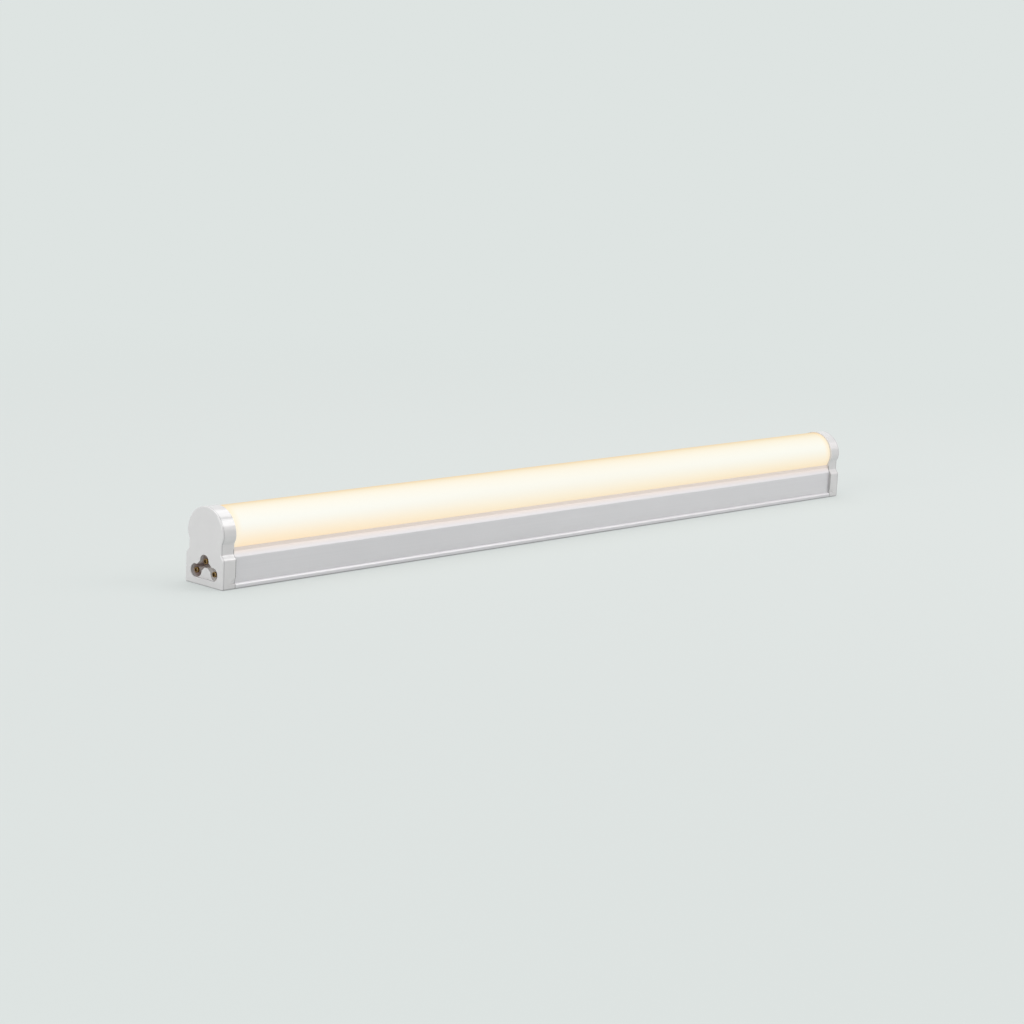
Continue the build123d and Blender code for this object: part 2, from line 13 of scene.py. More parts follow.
import bpy
import numpy as np
from mathutils import Matrix, Vector
from numpy.typing import NDArray


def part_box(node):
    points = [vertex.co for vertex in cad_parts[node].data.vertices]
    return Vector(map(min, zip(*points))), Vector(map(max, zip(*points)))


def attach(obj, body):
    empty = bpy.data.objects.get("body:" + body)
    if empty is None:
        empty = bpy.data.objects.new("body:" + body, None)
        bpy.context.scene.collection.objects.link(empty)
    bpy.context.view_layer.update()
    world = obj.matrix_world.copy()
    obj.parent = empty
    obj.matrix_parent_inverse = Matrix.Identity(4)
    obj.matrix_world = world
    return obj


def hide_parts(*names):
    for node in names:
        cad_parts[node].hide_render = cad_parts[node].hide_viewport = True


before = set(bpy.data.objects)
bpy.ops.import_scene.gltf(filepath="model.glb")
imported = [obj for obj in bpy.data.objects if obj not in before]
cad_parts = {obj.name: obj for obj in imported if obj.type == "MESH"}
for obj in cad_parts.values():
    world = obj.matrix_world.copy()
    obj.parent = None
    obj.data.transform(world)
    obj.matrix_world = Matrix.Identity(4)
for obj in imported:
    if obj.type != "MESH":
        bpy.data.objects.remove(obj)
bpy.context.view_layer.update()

LOG = logging.getLogger("batten")
MM = 0.001
BODY = "root"
SHARP_ANGLE = 30.0
SAME_POINT = 1e-6
NOISE_DETAIL = 3.0
NOISE_MEAN = 0.5
MOTTLE_SHADE = 0.85
MOTTLE_ROUGHNESS = 0.15
MIX_SHARE, MIX_FIRST, MIX_SECOND, MIX_RESULT = 0, 6, 7, 2
Colour = tuple[float, float, float]
FAINT_PINK: Colour = (1.0, 0.88, 0.89)
Loop = NDArray[np.float64]


class Signal:
    """An output of a node, with Python's operators turned into Math nodes."""

    def __init__(self, paint: "Paint", node: bpy.types.Node, output: str | int) -> None:
        """Keep an output of a node.

        Args:
            paint: The paint that the node belongs to.
            node: The node.
            output: Name or number of the output.
        """
        self.paint = paint
        self.node = node
        self.output = output

    @property
    def socket(self) -> bpy.types.NodeSocket:
        """The socket itself."""
        return self.node.outputs[self.output]

    def also(self, output: str | int) -> "Signal":
        """Another output of the same node."""
        return Signal(self.paint, self.node, output)

    def math(self, operation: str, *terms: "Signal | float") -> "Signal":
        """Add one Math node.

        Args:
            operation: The node's operation.
            terms: Its inputs in order, sockets or numbers.

        Returns:
            The node's value.
        """
        return self.paint.node("ShaderNodeMath", {"operation": operation}, dict(enumerate(terms)))

    def __add__(self, other: "Signal | float") -> "Signal":
        """Sum."""
        return self.math("ADD", self, other)

    def __radd__(self, other: float) -> "Signal":
        """Sum with a number on the left."""
        return self.math("ADD", other, self)

    def __sub__(self, other: "Signal | float") -> "Signal":
        """Difference."""
        return self.math("SUBTRACT", self, other)

    def __rsub__(self, other: float) -> "Signal":
        """Difference from a number on the left."""
        return self.math("SUBTRACT", other, self)

    def __mul__(self, other: "Signal | float") -> "Signal":
        """Product."""
        return self.math("MULTIPLY", self, other)

    def __rmul__(self, other: float) -> "Signal":
        """Product with a number on the left."""
        return self.math("MULTIPLY", other, self)

    def __truediv__(self, other: "Signal | float") -> "Signal":
        """Quotient."""
        return self.math("DIVIDE", self, other)

    def __abs__(self) -> "Signal":
        """Distance from nought."""
        return self.math("ABSOLUTE", self)

    def greater(self, other: "Signal | float") -> "Signal":
        """The larger of two values."""
        return self.math("MAXIMUM", self, other)

    def step(self, low: float, high: float) -> "Signal":
        """A soft step.

        Args:
            low: Where the step starts, at 0.
            high: Where it ends, at 1.

        Returns:
            A value that eases from 0 to 1 between the two.
        """
        settings = {"interpolation_type": "SMOOTHSTEP"}
        inputs = {"Value": self, "From Min": low, "From Max": high}
        return self.paint.node("ShaderNodeMapRange", settings, inputs)


class Paint:
    """A node tree under construction, of a material or of the world."""

    def __init__(self, owner: bpy.types.Material | bpy.types.World) -> None:
        """Start with an empty tree.

        Args:
            owner: The new material or world.
        """
        self.owner = owner
        owner.use_nodes = True
        self.tree = owner.node_tree
        self.tree.nodes.clear()

    def node(
        self,
        kind: str,
        settings: Mapping[str, object] | None = None,
        inputs: Mapping[str | int, object] | None = None,
        output: str | int = 0,
    ) -> Signal:
        """Add any node.

        Args:
            kind: The node's type.
            settings: Its own properties, set before its sockets.
            inputs: Values or links of its input sockets.
            output: Which output is wanted.

        Returns:
            That output.
        """
        made = self.tree.nodes.new(kind)
        for key, value in (settings or {}).items():
            setattr(made, key, value)
        for key, value in (inputs or {}).items():
            if isinstance(value, Signal):
                self.tree.links.new(value.socket, made.inputs[key])
            else:
                made.inputs[key].default_value = value
        return Signal(self, made, output)

    def close(self, kind: str, shader: Signal) -> None:
        """Send a shader to the surface.

        Args:
            kind: The type of the output node.
            shader: The shader that it shows.
        """
        self.node(kind, None, {"Surface": shader})

    def place(self, scale: Sequence[float] = (1.0, 1.0, 1.0)) -> Signal:
        """Object coordinates in millimetres.

        Args:
            scale: What they are multiplied by along X, Y and Z.

        Returns:
            The scaled place.
        """
        metres = self.node("ShaderNodeTexCoord", None, None, "Object")
        factors = tuple(share / MM for share in scale)
        return self.node("ShaderNodeVectorMath", {"operation": "MULTIPLY"}, {0: metres, 1: factors})

    def axes(self) -> tuple[Signal, Signal, Signal]:
        """The place on the object along X, Y and Z, in millimetres."""
        along = self.node("ShaderNodeSeparateXYZ", None, {0: self.place()})
        return along, along.also(1), along.also(2)

    def distance(self) -> Signal:
        """The distance from the object's origin, in millimetres."""
        return self.node("ShaderNodeVectorMath", {"operation": "LENGTH"}, {0: self.place()}, "Value")

    def noise(self, grain: Sequence[float]) -> Signal:
        """Smooth noise.

        Args:
            grain: Size of its grains along X, Y and Z in millimetres.

        Returns:
            A value from 0 to 1, about one half on average.
        """
        inputs = {"Vector": self.place([1.0 / size for size in grain]), "Scale": 1.0, "Detail": NOISE_DETAIL}
        return self.node("ShaderNodeTexNoise", None, inputs)

    def blend(self, share: Signal, first: "Signal | Colour", second: "Signal | Colour") -> Signal:
        """Mix two colours.

        Args:
            share: How much of the second shows.
            first: The colour at a share of 0.
            second: The colour at a share of 1.

        Returns:
            The mixed colour.
        """
        ends = [end if isinstance(end, Signal) else opaque(end) for end in (first, second)]
        inputs = {MIX_SHARE: share, MIX_FIRST: ends[0], MIX_SECOND: ends[1]}
        return self.node("ShaderNodeMix", {"data_type": "RGBA"}, inputs, MIX_RESULT)

    def bump(self, height: Signal, depth: float) -> Signal:
        """A bumped normal.

        Args:
            height: Relief from 0 to 1.
            depth: What a height of 1 stands for, in millimetres.

        Returns:
            The normal for a shader.
        """
        return self.node("ShaderNodeBump", None, {"Distance": depth * MM, "Height": height})

    def seen(self) -> Signal:
        """1 for a ray that shows the surface itself, straight or in gloss or glass, and 0 for its light."""
        camera = self.node("ShaderNodeLightPath", None, None, "Is Camera Ray")
        return camera.greater(camera.also("Is Glossy Ray")).greater(camera.also("Is Transmission Ray"))


def surface(name: str, recipe: Callable[[Paint], dict[str, object]]) -> bpy.types.Material:
    """Make a material with one shader.

    Args:
        name: The material's name.
        recipe: What gives the shader's socket values, from the paint that it is handed.

    Returns:
        The finished material.
    """
    paint = Paint(bpy.data.materials.new(name))
    shader = paint.node("ShaderNodeBsdfPrincipled", None, recipe(paint))
    paint.close("ShaderNodeOutputMaterial", shader)
    return paint.owner


def opaque(colour: Colour) -> tuple[float, float, float, float]:
    """A colour with full cover, as a socket takes it."""
    return (*colour, 1.0)


@dataclass(frozen=True)
class LitOpal:
    """Opal plastic lit from inside by warm LEDs.

    The crown glows almost white, and the low sides and the ends warmer, where less light reaches. The tone
    drifts along the row of LEDs: the low sides are warmer towards the left end, and the crown is whiter
    towards the right end. A tinted coat stands for the skin, which keeps back more of the blue on a slanting
    way through it.
    """

    crown: Colour = (0.742, 0.860, 1.0)
    crown_right: Colour = (0.742, 0.892, 1.075)
    low_side: Colour = (0.797, 0.832, 0.830)
    low_left: Colour = (0.815, 0.785, 0.725)
    end: Colour = (0.795, 0.815, 0.80)
    strength: float = 1.15
    skin: Colour = (0.16, 0.16, 0.15)
    roughness: float = 0.6
    coat: float = 1.0
    coat_roughness: float = 0.4
    coat_index: float = 1.03
    coat_tint: Colour = (0.94, 0.855, 0.735)
    cloud: float = 0.06
    cloud_grain: tuple[float, float, float] = (30.0, 9.0, 9.0)
    line_grain: tuple[float, float, float] = (60.0, 0.6, 0.6)
    line_depth: float = 0.003
    low_level: float = -0.45
    crown_level: float = 0.5
    end_reach: float = 5.0

    def material(self, radius: float, middle: float, half_length: float) -> bpy.types.Material:
        """Paint the cover.

        Args:
            radius: Radius of the arch.
            middle: Height of the arch's centre.
            half_length: Half of the cover's length.

        Returns:
            The lit material.
        """

        def recipe(paint: Paint) -> dict[str, object]:
            """Socket values of the opal's shader, for the paint that is handed in."""
            along, _, height = paint.axes()
            level = (height - middle) / radius
            cloud = self.cloud * (paint.noise(self.cloud_grain) - NOISE_MEAN)
            rise = (level + cloud).step(self.low_level, self.crown_level)
            inner = (half_length - abs(along)).step(0.0, self.end_reach)
            low_side = paint.blend(along.step(-half_length, 0.0), self.low_left, self.low_side)
            crown = paint.blend(along.step(0.0, half_length), self.crown, self.crown_right)
            glow = paint.blend(inner, self.end, paint.blend(rise, low_side, crown))
            return {
                "Base Color": opaque(self.skin),
                "Roughness": self.roughness,
                "Normal": paint.bump(paint.noise(self.line_grain), self.line_depth),
                "Coat Weight": self.coat,
                "Coat Roughness": self.coat_roughness,
                "Coat IOR": self.coat_index,
                "Coat Tint": opaque(self.coat_tint),
                "Emission Color": glow,
                "Emission Strength": self.strength,
            }

        return surface("opal_cover_lit", recipe)


@dataclass(frozen=True)
class SatinAnodised:
    """Satin silver anodising with the fine lines that an extrusion die leaves along the length.

    Its lower edges are darkened by a painted contact shadow, and beside the lit cover it carries the cover's
    warm light, painted into its colour.
    """

    dark: Colour = (0.67, 0.66, 0.68)
    light: Colour = (0.755, 0.74, 0.76)
    # painted warm light that the lit cover casts on the rim below it
    painted_cover_light: Colour = (0.77, 0.68, 0.625)
    cover_light_start: float = 14.0
    cover_light_end: float = 17.2
    # painted contact shadow along the lower edges
    painted_shade: Colour = (0.36, 0.35, 0.36)
    foot_shade_height: float = 0.9
    metal: float = 0.4
    roughness: float = 0.42
    roughness_spread: float = 0.10
    line_grain: tuple[float, float, float] = (90.0, 0.35, 0.35)
    line_depth: float = 0.006
    cloud_grain: tuple[float, float, float] = (40.0, 6.0, 6.0)
    cloud_share: float = 0.5

    def material(self) -> bpy.types.Material:
        """Paint the extrusion and return its material."""

        def recipe(paint: Paint) -> dict[str, object]:
            """Socket values of the metal's shader, for the paint that is handed in."""
            lines = paint.noise(self.line_grain)
            cloud = paint.noise(self.cloud_grain)
            tone = lines * (1.0 - self.cloud_share) + cloud * self.cloud_share
            height = paint.axes()[2]
            # Painted shade: below this height the foot darkens as a contact shadow.
            unshaded = height.step(0.0, self.foot_shade_height)
            # Painted light: the rim below the cover takes the cover's warm light.
            cover_light_share = height.step(self.cover_light_start, self.cover_light_end)
            cover_lit_metal = paint.blend(cover_light_share, paint.blend(tone, self.dark, self.light), self.painted_cover_light)
            return {
                "Base Color": paint.blend(unshaded, self.painted_shade, cover_lit_metal),
                "Metallic": self.metal,
                "Roughness": self.roughness + self.roughness_spread * (tone - NOISE_MEAN),
                "Normal": paint.bump(lines, self.line_depth),
            }

        return surface("satin_anodised", recipe)


@dataclass(frozen=True)
class MouldedWhite:
    """White moulded plastic with a fine spark-eroded grain; painted light and shade in the socket, painted
    shade along the face edge and the foot, and a painted shadow in the seam at the rim.
    """

    light: Colour = (0.67, 0.66, 0.66)
    dark: Colour = (0.63, 0.62, 0.625)
    # painted light and shade inside the socket: pale where it is lit, brown where it lies in shade
    socket_painted_light: Colour = (0.86, 0.84, 0.82)
    socket_painted_shade: Colour = (0.58, 0.48, 0.45)
    # painted shade along the face's rounded edge and along the foot
    edge_shade: Colour = (0.40, 0.39, 0.40)
    # painted shadow in the seam where the cap's rim meets the body
    seam_shadow: Colour = (0.16, 0.155, 0.16)
    index: float = 1.6
    gloss: float = 1.0
    roughness: float = 0.18
    roughness_spread: float = 0.06
    grain: tuple[float, float, float] = (0.35, 0.35, 0.35)
    grain_depth: float = 0.003
    cloud_grain: tuple[float, float, float] = (7.0, 7.0, 7.0)
    socket_start: float = 1.3
    socket_end: float = 2.2
    socket_half: float = 9.5
    socket_bottom: float = 2.2
    socket_top: float = 14.6
    edge: float = 0.5
    # across the socket, where its painted shade starts and where it is full
    lit_side: float = -2.0
    shaded_side: float = 2.5
    face_line: float = 0.75
    # where the painted seam shadow runs, behind the face
    rim_line: float = 7.35
    rim_top: float = 18.0
    rim_fade: float = 1.0
    line_half: float = 0.3
    # height of the painted contact shadow along the foot
    foot_shade_height: float = 0.8

    def material(self, half_length: float) -> bpy.types.Material:
        """Paint the end caps.

        Args:
            half_length: Half of the batten's length, where the caps' faces stand.

        Returns:
            The material of both caps.
        """

        def recipe(paint: Paint) -> dict[str, object]:
            """Socket values of the plastic's shader, for the paint that is handed in."""
            along, across, height = paint.axes()
            cloud = paint.noise(self.cloud_grain)
            grain = paint.noise(self.grain)
            behind = half_length - abs(along)
            # Painted light and shade fill the socket beyond this depth.
            depth = behind.step(self.socket_start, self.socket_end)
            beside = (self.socket_half - abs(across)).step(0.0, self.edge)
            above = (height - self.socket_bottom).step(0.0, self.edge)
            below = (self.socket_top - height).step(0.0, self.edge)
            hollow = depth * beside * above * below
            # One side of the socket is painted lit and the other painted shaded.
            shade_share = across.step(self.lit_side, self.shaded_side)
            socket = paint.blend(shade_share, self.socket_painted_light, self.socket_painted_shade)
            # Painted shade: a dark line on the face's rounded edge.
            face_line = abs(behind - self.face_line).step(self.line_half, 0.0)
            # Painted shadow in the seam at the rim, below the cover's foot.
            low_part = (self.rim_top - height).step(0.0, self.rim_fade)
            rim_line = abs(behind - self.rim_line).step(self.line_half, 0.0) * low_part
            # Painted contact shadow along the foot.
            foot_line = height.step(self.foot_shade_height, 0.0)
            unshaded = paint.blend(cloud, self.dark, self.light)
            edge_shaded = paint.blend(face_line.greater(foot_line), unshaded, self.edge_shade)
            painted_shade = paint.blend(rim_line, edge_shaded, self.seam_shadow)
            return {
                "Base Color": paint.blend(hollow, painted_shade, socket),
                "IOR": self.index,
                "Specular IOR Level": self.gloss,
                "Roughness": self.roughness + self.roughness_spread * (grain - NOISE_MEAN),
                "Normal": paint.bump(grain, self.grain_depth),
            }

        return surface("moulded_white", recipe)


@dataclass(frozen=True)
class DullBrass:
    """Turned brass, a little dulled in patches, with pale, non-metallic painted light behind the tips, where
    the recess is deep.
    """

    bright: Colour = (0.34, 0.21, 0.08)
    dull: Colour = (0.21, 0.13, 0.055)
    roughness: float = 0.28
    roughness_spread: float = 0.25
    patch_grain: tuple[float, float, float] = (1.6, 0.9, 0.9)
    patch_start: float = 0.35
    patch_end: float = 0.75
    turning_grain: tuple[float, float, float] = (0.12, 4.0, 4.0)
    turning_depth: float = 0.004
    # painted light: a pale, non-metallic colour behind the tips that lifts the deep shaded recess
    recess_light: Colour = (0.64, 0.60, 0.58)
    recess_light_start: float = 1.3
    recess_light_end: float = 1.9

    def material(self, half_length: float) -> bpy.types.Material:
        """Paint the contacts.

        Args:
            half_length: Half of the batten's length, just beyond the contacts' tips.

        Returns:
            The material of all six contacts.
        """

        def recipe(paint: Paint) -> dict[str, object]:
            """Socket values of the brass's shader, for the paint that is handed in."""
            patch = paint.noise(self.patch_grain)
            # Painted light: behind the tips the brass turns pale and loses its metal.
            recess_light = (half_length - abs(paint.axes()[0])).step(self.recess_light_start, self.recess_light_end)
            brass = paint.blend(patch.step(self.patch_start, self.patch_end), self.bright, self.dull)
            return {
                "Base Color": paint.blend(recess_light, brass, self.recess_light),
                "Metallic": 1.0 - recess_light,
                "Roughness": self.roughness + self.roughness_spread * (patch - NOISE_MEAN),
                "Normal": paint.bump(paint.noise(self.turning_grain), self.turning_depth),
            }

        return surface("dull_brass", recipe)


class Inner(Enum):
    """Finishes of the pieces inside: colour, roughness, metal share and size of the mottling."""

    NATURAL_MOULDING = ((0.78, 0.78, 0.77), 0.45, 0.0, 3.0)
    WHITE_MASK = ((0.88, 0.88, 0.86), 0.40, 0.0, 2.0)
    PHOSPHOR = ((0.92, 0.72, 0.22), 0.30, 0.0, 0.6)
    SLEEVE_FILM = ((0.84, 0.84, 0.82), 0.50, 0.0, 8.0)
    TAN_LAMINATE = ((0.62, 0.50, 0.27), 0.55, 0.0, 1.2)
    GREEN_LACQUER = ((0.22, 0.40, 0.30), 0.35, 0.0, 1.0)
    BLACK_MOULDING = ((0.03, 0.03, 0.033), 0.50, 0.0, 0.8)
    YELLOW_CASE = ((0.76, 0.52, 0.06), 0.30, 0.0, 2.0)
    DARK_FERRITE = ((0.08, 0.07, 0.07), 0.60, 0.0, 0.7)
    SHRINK_JACKET = ((0.05, 0.06, 0.10), 0.28, 0.0, 2.5)
    BROWN_WIRE = ((0.20, 0.08, 0.03), 0.40, 0.0, 5.0)
    BLUE_WIRE = ((0.05, 0.17, 0.50), 0.40, 0.0, 5.0)
    GREEN_WIRE = ((0.12, 0.42, 0.06), 0.40, 0.0, 5.0)
    RED_WIRE = ((0.52, 0.03, 0.02), 0.40, 0.0, 5.0)
    BLACK_WIRE = ((0.03, 0.03, 0.03), 0.40, 0.0, 5.0)
    SPRING_BRASS = ((0.60, 0.43, 0.20), 0.30, 1.0, 1.5)

    def material(self) -> bpy.types.Material:
        """Paint this finish, mottled a little, and return its material."""
        colour, roughness, metal, grain = self.value
        darker = tuple(MOTTLE_SHADE * part for part in colour)

        def recipe(paint: Paint) -> dict[str, object]:
            """Socket values of the finish's shader, for the paint that is handed in."""
            mottle = paint.noise((grain, grain, grain))
            return {
                "Base Color": paint.blend(mottle, darker, colour),
                "Metallic": metal,
                "Roughness": roughness + MOTTLE_ROUGHNESS * (mottle - NOISE_MEAN),
            }

        return surface(self.name.lower(), recipe)


def rounded_half(corners: Sequence[tuple[float, float, float]], steps: int = 12) -> Loop:
    """One half of a section, from its middle line to its middle line, with rounded corners.

    At a corner with unit directions a and b to its neighbours, the arc's centre lies on their bisector at
    radius / sin(half angle). The arc turns from the foot on one side to the foot on the other by
    sin((1 - t) turn) / sin(turn) of the first and sin(t turn) / sin(turn) of the second.

    Args:
        corners: Place across, height and radius of each corner.
        steps: Points on each arc.

    Returns:
        Points of the half outline, with no point twice.
    """
    table = np.asarray(corners, float)
    points, radii = table[:, :2], table[1:-1, 2]
    inner = points[1:-1]
    back = points[:-2] - inner
    ahead = points[2:] - inner
    back /= np.linalg.norm(back, axis=1)[:, None]
    ahead /= np.linalg.norm(ahead, axis=1)[:, None]
    bisector = back + ahead
    bisector /= np.linalg.norm(bisector, axis=1)[:, None]
    half = np.arccos(np.clip((back * bisector).sum(1), -1.0, 1.0))
    centre = inner + bisector * (radii / np.sin(half))[:, None]
    foot = (radii / np.tan(half))[:, None]
    first = inner + back * foot - centre
    second = inner + ahead * foot - centre
    turn = (pi - 2 * half)[:, None]
    part = np.linspace(0.0, 1.0, steps)[None, :]
    first_share = np.sin((1.0 - part) * turn) / np.sin(turn)
    second_share = np.sin(part * turn) / np.sin(turn)
    swing = first_share[..., None] * first[:, None] + second_share[..., None] * second[:, None]
    arcs = centre[:, None] + swing
    line = np.concatenate([points[:1], arcs.reshape(-1, 2), points[-1:]])
    apart = np.linalg.norm(np.diff(line, axis=0), axis=1) > SAME_POINT
    return line[np.concatenate([[True], apart])]


def closed_loop(half: Loop) -> Loop:
    """A half outline and its mirror image about the middle line, joined to one loop."""
    mirrored = half[-2:0:-1] * (-1.0, 1.0)
    return np.concatenate([half, mirrored])


@dataclass(frozen=True)
class Extrusion:
    """A section carried straight along X.

    Attributes:
        loops: Closed loops of the section, the outer one against the clock and holes with it.
        ends: Faces that close each end, as points counted through the loops in order.
    """

    loops: tuple[Loop, ...]
    ends: tuple[NDArray[np.int64], ...]

    def build(self, name: str, low: float, high: float) -> bpy.types.Object:
        """Make the piece.

        Each point (y, z) of a loop gives the vertices (low, y, z) and (high, y, z), and each side of a loop
        one face between the two.

        Args:
            name: The piece's name.
            low: Place of its first end along X.
            high: Place of its second end.

        Returns:
            The new object, at the origin.
        """
        section = np.concatenate(self.loops)
        count = len(section)
        stations = np.repeat([low, high], count)[:, None]
        vertices = np.concatenate([stations, np.tile(section, (2, 1))], axis=1) * MM
        starts = np.cumsum([0] + [len(loop) for loop in self.loops])
        sides = []
        for start, stop in zip(starts, starts[1:]):
            here = np.arange(start, stop)
            after = np.roll(here, -1)
            sides.append(np.stack([here, after, after + count, here + count], axis=1))
        faces = np.concatenate(sides).tolist()
        faces += [end[::-1].tolist() for end in self.ends]
        faces += [(end + count).tolist() for end in self.ends]
        mesh = bpy.data.meshes.new(name)
        mesh.from_pydata(vertices.tolist(), [], faces)
        mesh.shade_smooth()
        mesh.set_sharp_from_angle(angle=radians(SHARP_ANGLE))
        piece = bpy.data.objects.new(name, mesh)
        bpy.context.scene.collection.objects.link(piece)
        return piece


def stand_in(piece: bpy.types.Object, node: str, finish: bpy.types.Material) -> None:
    """Let a new piece take the place of a CAD node.

    Args:
        piece: The new piece.
        node: The node that it stands for.
        finish: Its material.
    """
    piece.data.materials.append(finish)
    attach(piece, BODY)
    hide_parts(node)
    LOG.info("%s stands for %s, %d faces", piece.name, node, len(piece.data.polygons))


def dress(finish: bpy.types.Material, *nodes: str) -> None:
    """Give CAD nodes a finish.

    Args:
        finish: The material.
        nodes: Names of the nodes that take it.
    """
    for node in nodes:
        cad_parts[node].data.materials.clear()
        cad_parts[node].data.materials.append(finish)
        LOG.info("%s wears %s", node, finish.name)


def span(node: str) -> tuple[float, float]:
    """Where a CAD node starts and ends along X, in millimetres."""
    low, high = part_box(node)
    return low.x / MM, high.x / MM


@dataclass(frozen=True)
class OpalCover:
    """The lit cover: a round arch that stands on two barbed feet."""

    radius: float = 11.0
    wall: float = 1.2
    waist_angle: float = 32.0
    foot_bottom: float = 16.35
    foot_height: float = 1.7
    barb_reach: float = 0.4
    barb_height: float = 0.8
    arch_steps: int = 90
    finish: LitOpal = field(default_factory=LitOpal)

    @property
    def foot_outer(self) -> float:
        """Half of the width over the feet."""
        return self.radius * cos(radians(self.waist_angle))

    @property
    def foot_inner(self) -> float:
        """Half of the width between the feet."""
        return self.foot_outer - self.wall

    @property
    def middle(self) -> float:
        """Height of the arch's centre."""
        return self.foot_bottom + self.foot_height + self.radius * sin(radians(self.waist_angle))

    def arch(self, radius: float) -> Loop:
        """One side of an arch, (radius cos t, middle + radius sin t) from the top of the foot to the crown.

        Args:
            radius: Radius of that side of the wall.

        Returns:
            Its points from the foot upwards.
        """
        start = -np.arcsin((self.middle - self.foot_bottom - self.foot_height) / radius)
        turn = np.linspace(start, pi / 2, self.arch_steps)
        return np.stack([radius * np.cos(turn), self.middle + radius * np.sin(turn)], axis=1)

    def section(self) -> Loop:
        """The whole section as one loop against the clock: outside over the crown, inside back again."""
        barb_top = self.foot_bottom + self.barb_height
        barb_edge = self.foot_outer + self.barb_reach
        foot = np.array([
            (self.foot_inner, self.foot_bottom),
            (self.foot_outer, self.foot_bottom),
            (barb_edge, self.foot_bottom + self.barb_height / 2),
            (barb_edge, barb_top),
            (self.foot_outer, barb_top),
        ])
        outside = np.concatenate([foot, self.arch(self.radius)])
        inside = self.arch(self.radius - self.wall)
        flip = np.array([-1.0, 1.0])
        left_outside = outside[-2::-1] * flip
        left_inside = inside[:-1] * flip
        return np.concatenate([outside, left_outside, left_inside, inside[::-1]])

    def build(self) -> None:
        """Make the cover and dress it."""
        loop = self.section()
        low, high = span("diffuser_cover")
        piece = Extrusion((loop,), (np.arange(len(loop)),)).build("opal_cover", low, high)
        lit = self.finish.material(self.radius, self.middle, high)
        stand_in(piece, "diffuser_cover", lit)


@dataclass(frozen=True)
class ExtrudedBody:
    """The aluminium body: rails and lips below, panels, shoulders, and a deck with grooves on top."""

    cover: OpalCover
    lip_half: float = 12.5
    lip_projection: float = 1.1
    lip_height: float = 2.5
    lip_rounding: float = 1.0
    foot_rounding: float = 0.8
    rail_width: float = 4.0
    underside_recess: float = 0.8
    wall: float = 1.3
    floor: float = 1.2
    deck_thickness: float = 1.2
    clearance: float = 0.15
    ridge_height: float = 1.8
    ridge_width: float = 0.8
    rim_height: float = 1.5
    rim_lean: float = 0.4
    rim_rounding: float = 0.4
    shoulder_drop: float = 2.7
    shoulder_rounding: float = 1.5
    rib_thickness: float = 0.8
    rib_overhang: float = 0.8
    rib_lip: float = 0.6
    board_thickness: float = 1.0
    room_rounding: float = 0.8
    finish: SatinAnodised = field(default_factory=SatinAnodised)

    def outer_half(self) -> Loop:
        """The right half of the outside, from the middle of the underside to the middle of the deck."""
        deck = self.cover.foot_bottom - self.clearance
        panel = self.lip_half - self.lip_projection
        rail = self.lip_half - self.rail_width
        ridge_top = deck + self.ridge_height
        rim_foot = ridge_top - self.rim_height
        ridge_inner = self.cover.foot_outer + self.clearance
        ridge_outer = ridge_inner + self.ridge_width
        pocket = self.cover.foot_outer + self.cover.barb_reach + self.clearance
        pocket_top = self.cover.foot_bottom + self.cover.barb_height + self.clearance
        rib_outer = self.cover.foot_inner - self.clearance
        rib_inner = rib_outer - self.rib_thickness
        slot_top = deck + self.board_thickness + self.clearance
        rib_top = slot_top + self.rib_lip
        return rounded_half([
            (0.0, self.underside_recess, 0.0),
            (rail, self.underside_recess, 0.0),
            (rail, 0.0, 0.0),
            (self.lip_half, 0.0, self.foot_rounding),
            (self.lip_half, self.lip_height, self.lip_rounding),
            (panel, self.lip_height, 0.0),
            (panel, rim_foot - self.shoulder_drop, self.shoulder_rounding),
            (ridge_outer, rim_foot, self.rim_rounding),
            (ridge_outer - self.rim_lean, ridge_top, 0.0),
            (ridge_inner, ridge_top, 0.0),
            (ridge_inner, pocket_top, 0.0),
            (pocket, pocket_top, 0.0),
            (pocket, deck, 0.0),
            (rib_outer, deck, 0.0),
            (rib_outer, rib_top, 0.0),
            (rib_inner - self.rib_overhang, rib_top, 0.0),
            (rib_inner - self.rib_overhang, slot_top, 0.0),
            (rib_inner, slot_top, 0.0),
            (rib_inner, deck, 0.0),
            (0.0, deck, 0.0),
        ])

    def room_half(self) -> Loop:
        """The right half of the room inside, from the middle of its ceiling to the middle of its floor."""
        half = self.lip_half - self.lip_projection - self.wall
        low = self.underside_recess + self.floor
        high = self.cover.foot_bottom - self.clearance - self.deck_thickness
        return rounded_half([
            (0.0, high, 0.0),
            (half, high, self.room_rounding),
            (half, low, self.room_rounding),
            (0.0, low, 0.0),
        ])

    def build(self) -> None:
        """Make the body and dress it.

        Each end is closed by two faces: one runs up the right half of the outside and down the right half of
        the room, the other down the left half of the outside and up the left half of the room.
        """
        outer_half, room_half = self.outer_half(), self.room_half()
        outer, room = closed_loop(outer_half), closed_loop(room_half)
        around = np.append(np.arange(len(outer)), 0)
        within = np.append(np.arange(len(room)), 0) + len(outer)
        top, bottom = len(outer_half) - 1, len(room_half) - 1
        right = np.concatenate([around[: top + 1], within[: bottom + 1]])
        left = np.concatenate([around[top:], within[bottom:]])
        piece = Extrusion((outer, room), (right, left)).build("extruded_body", *span("base_profile"))
        stand_in(piece, "base_profile", self.finish.material())


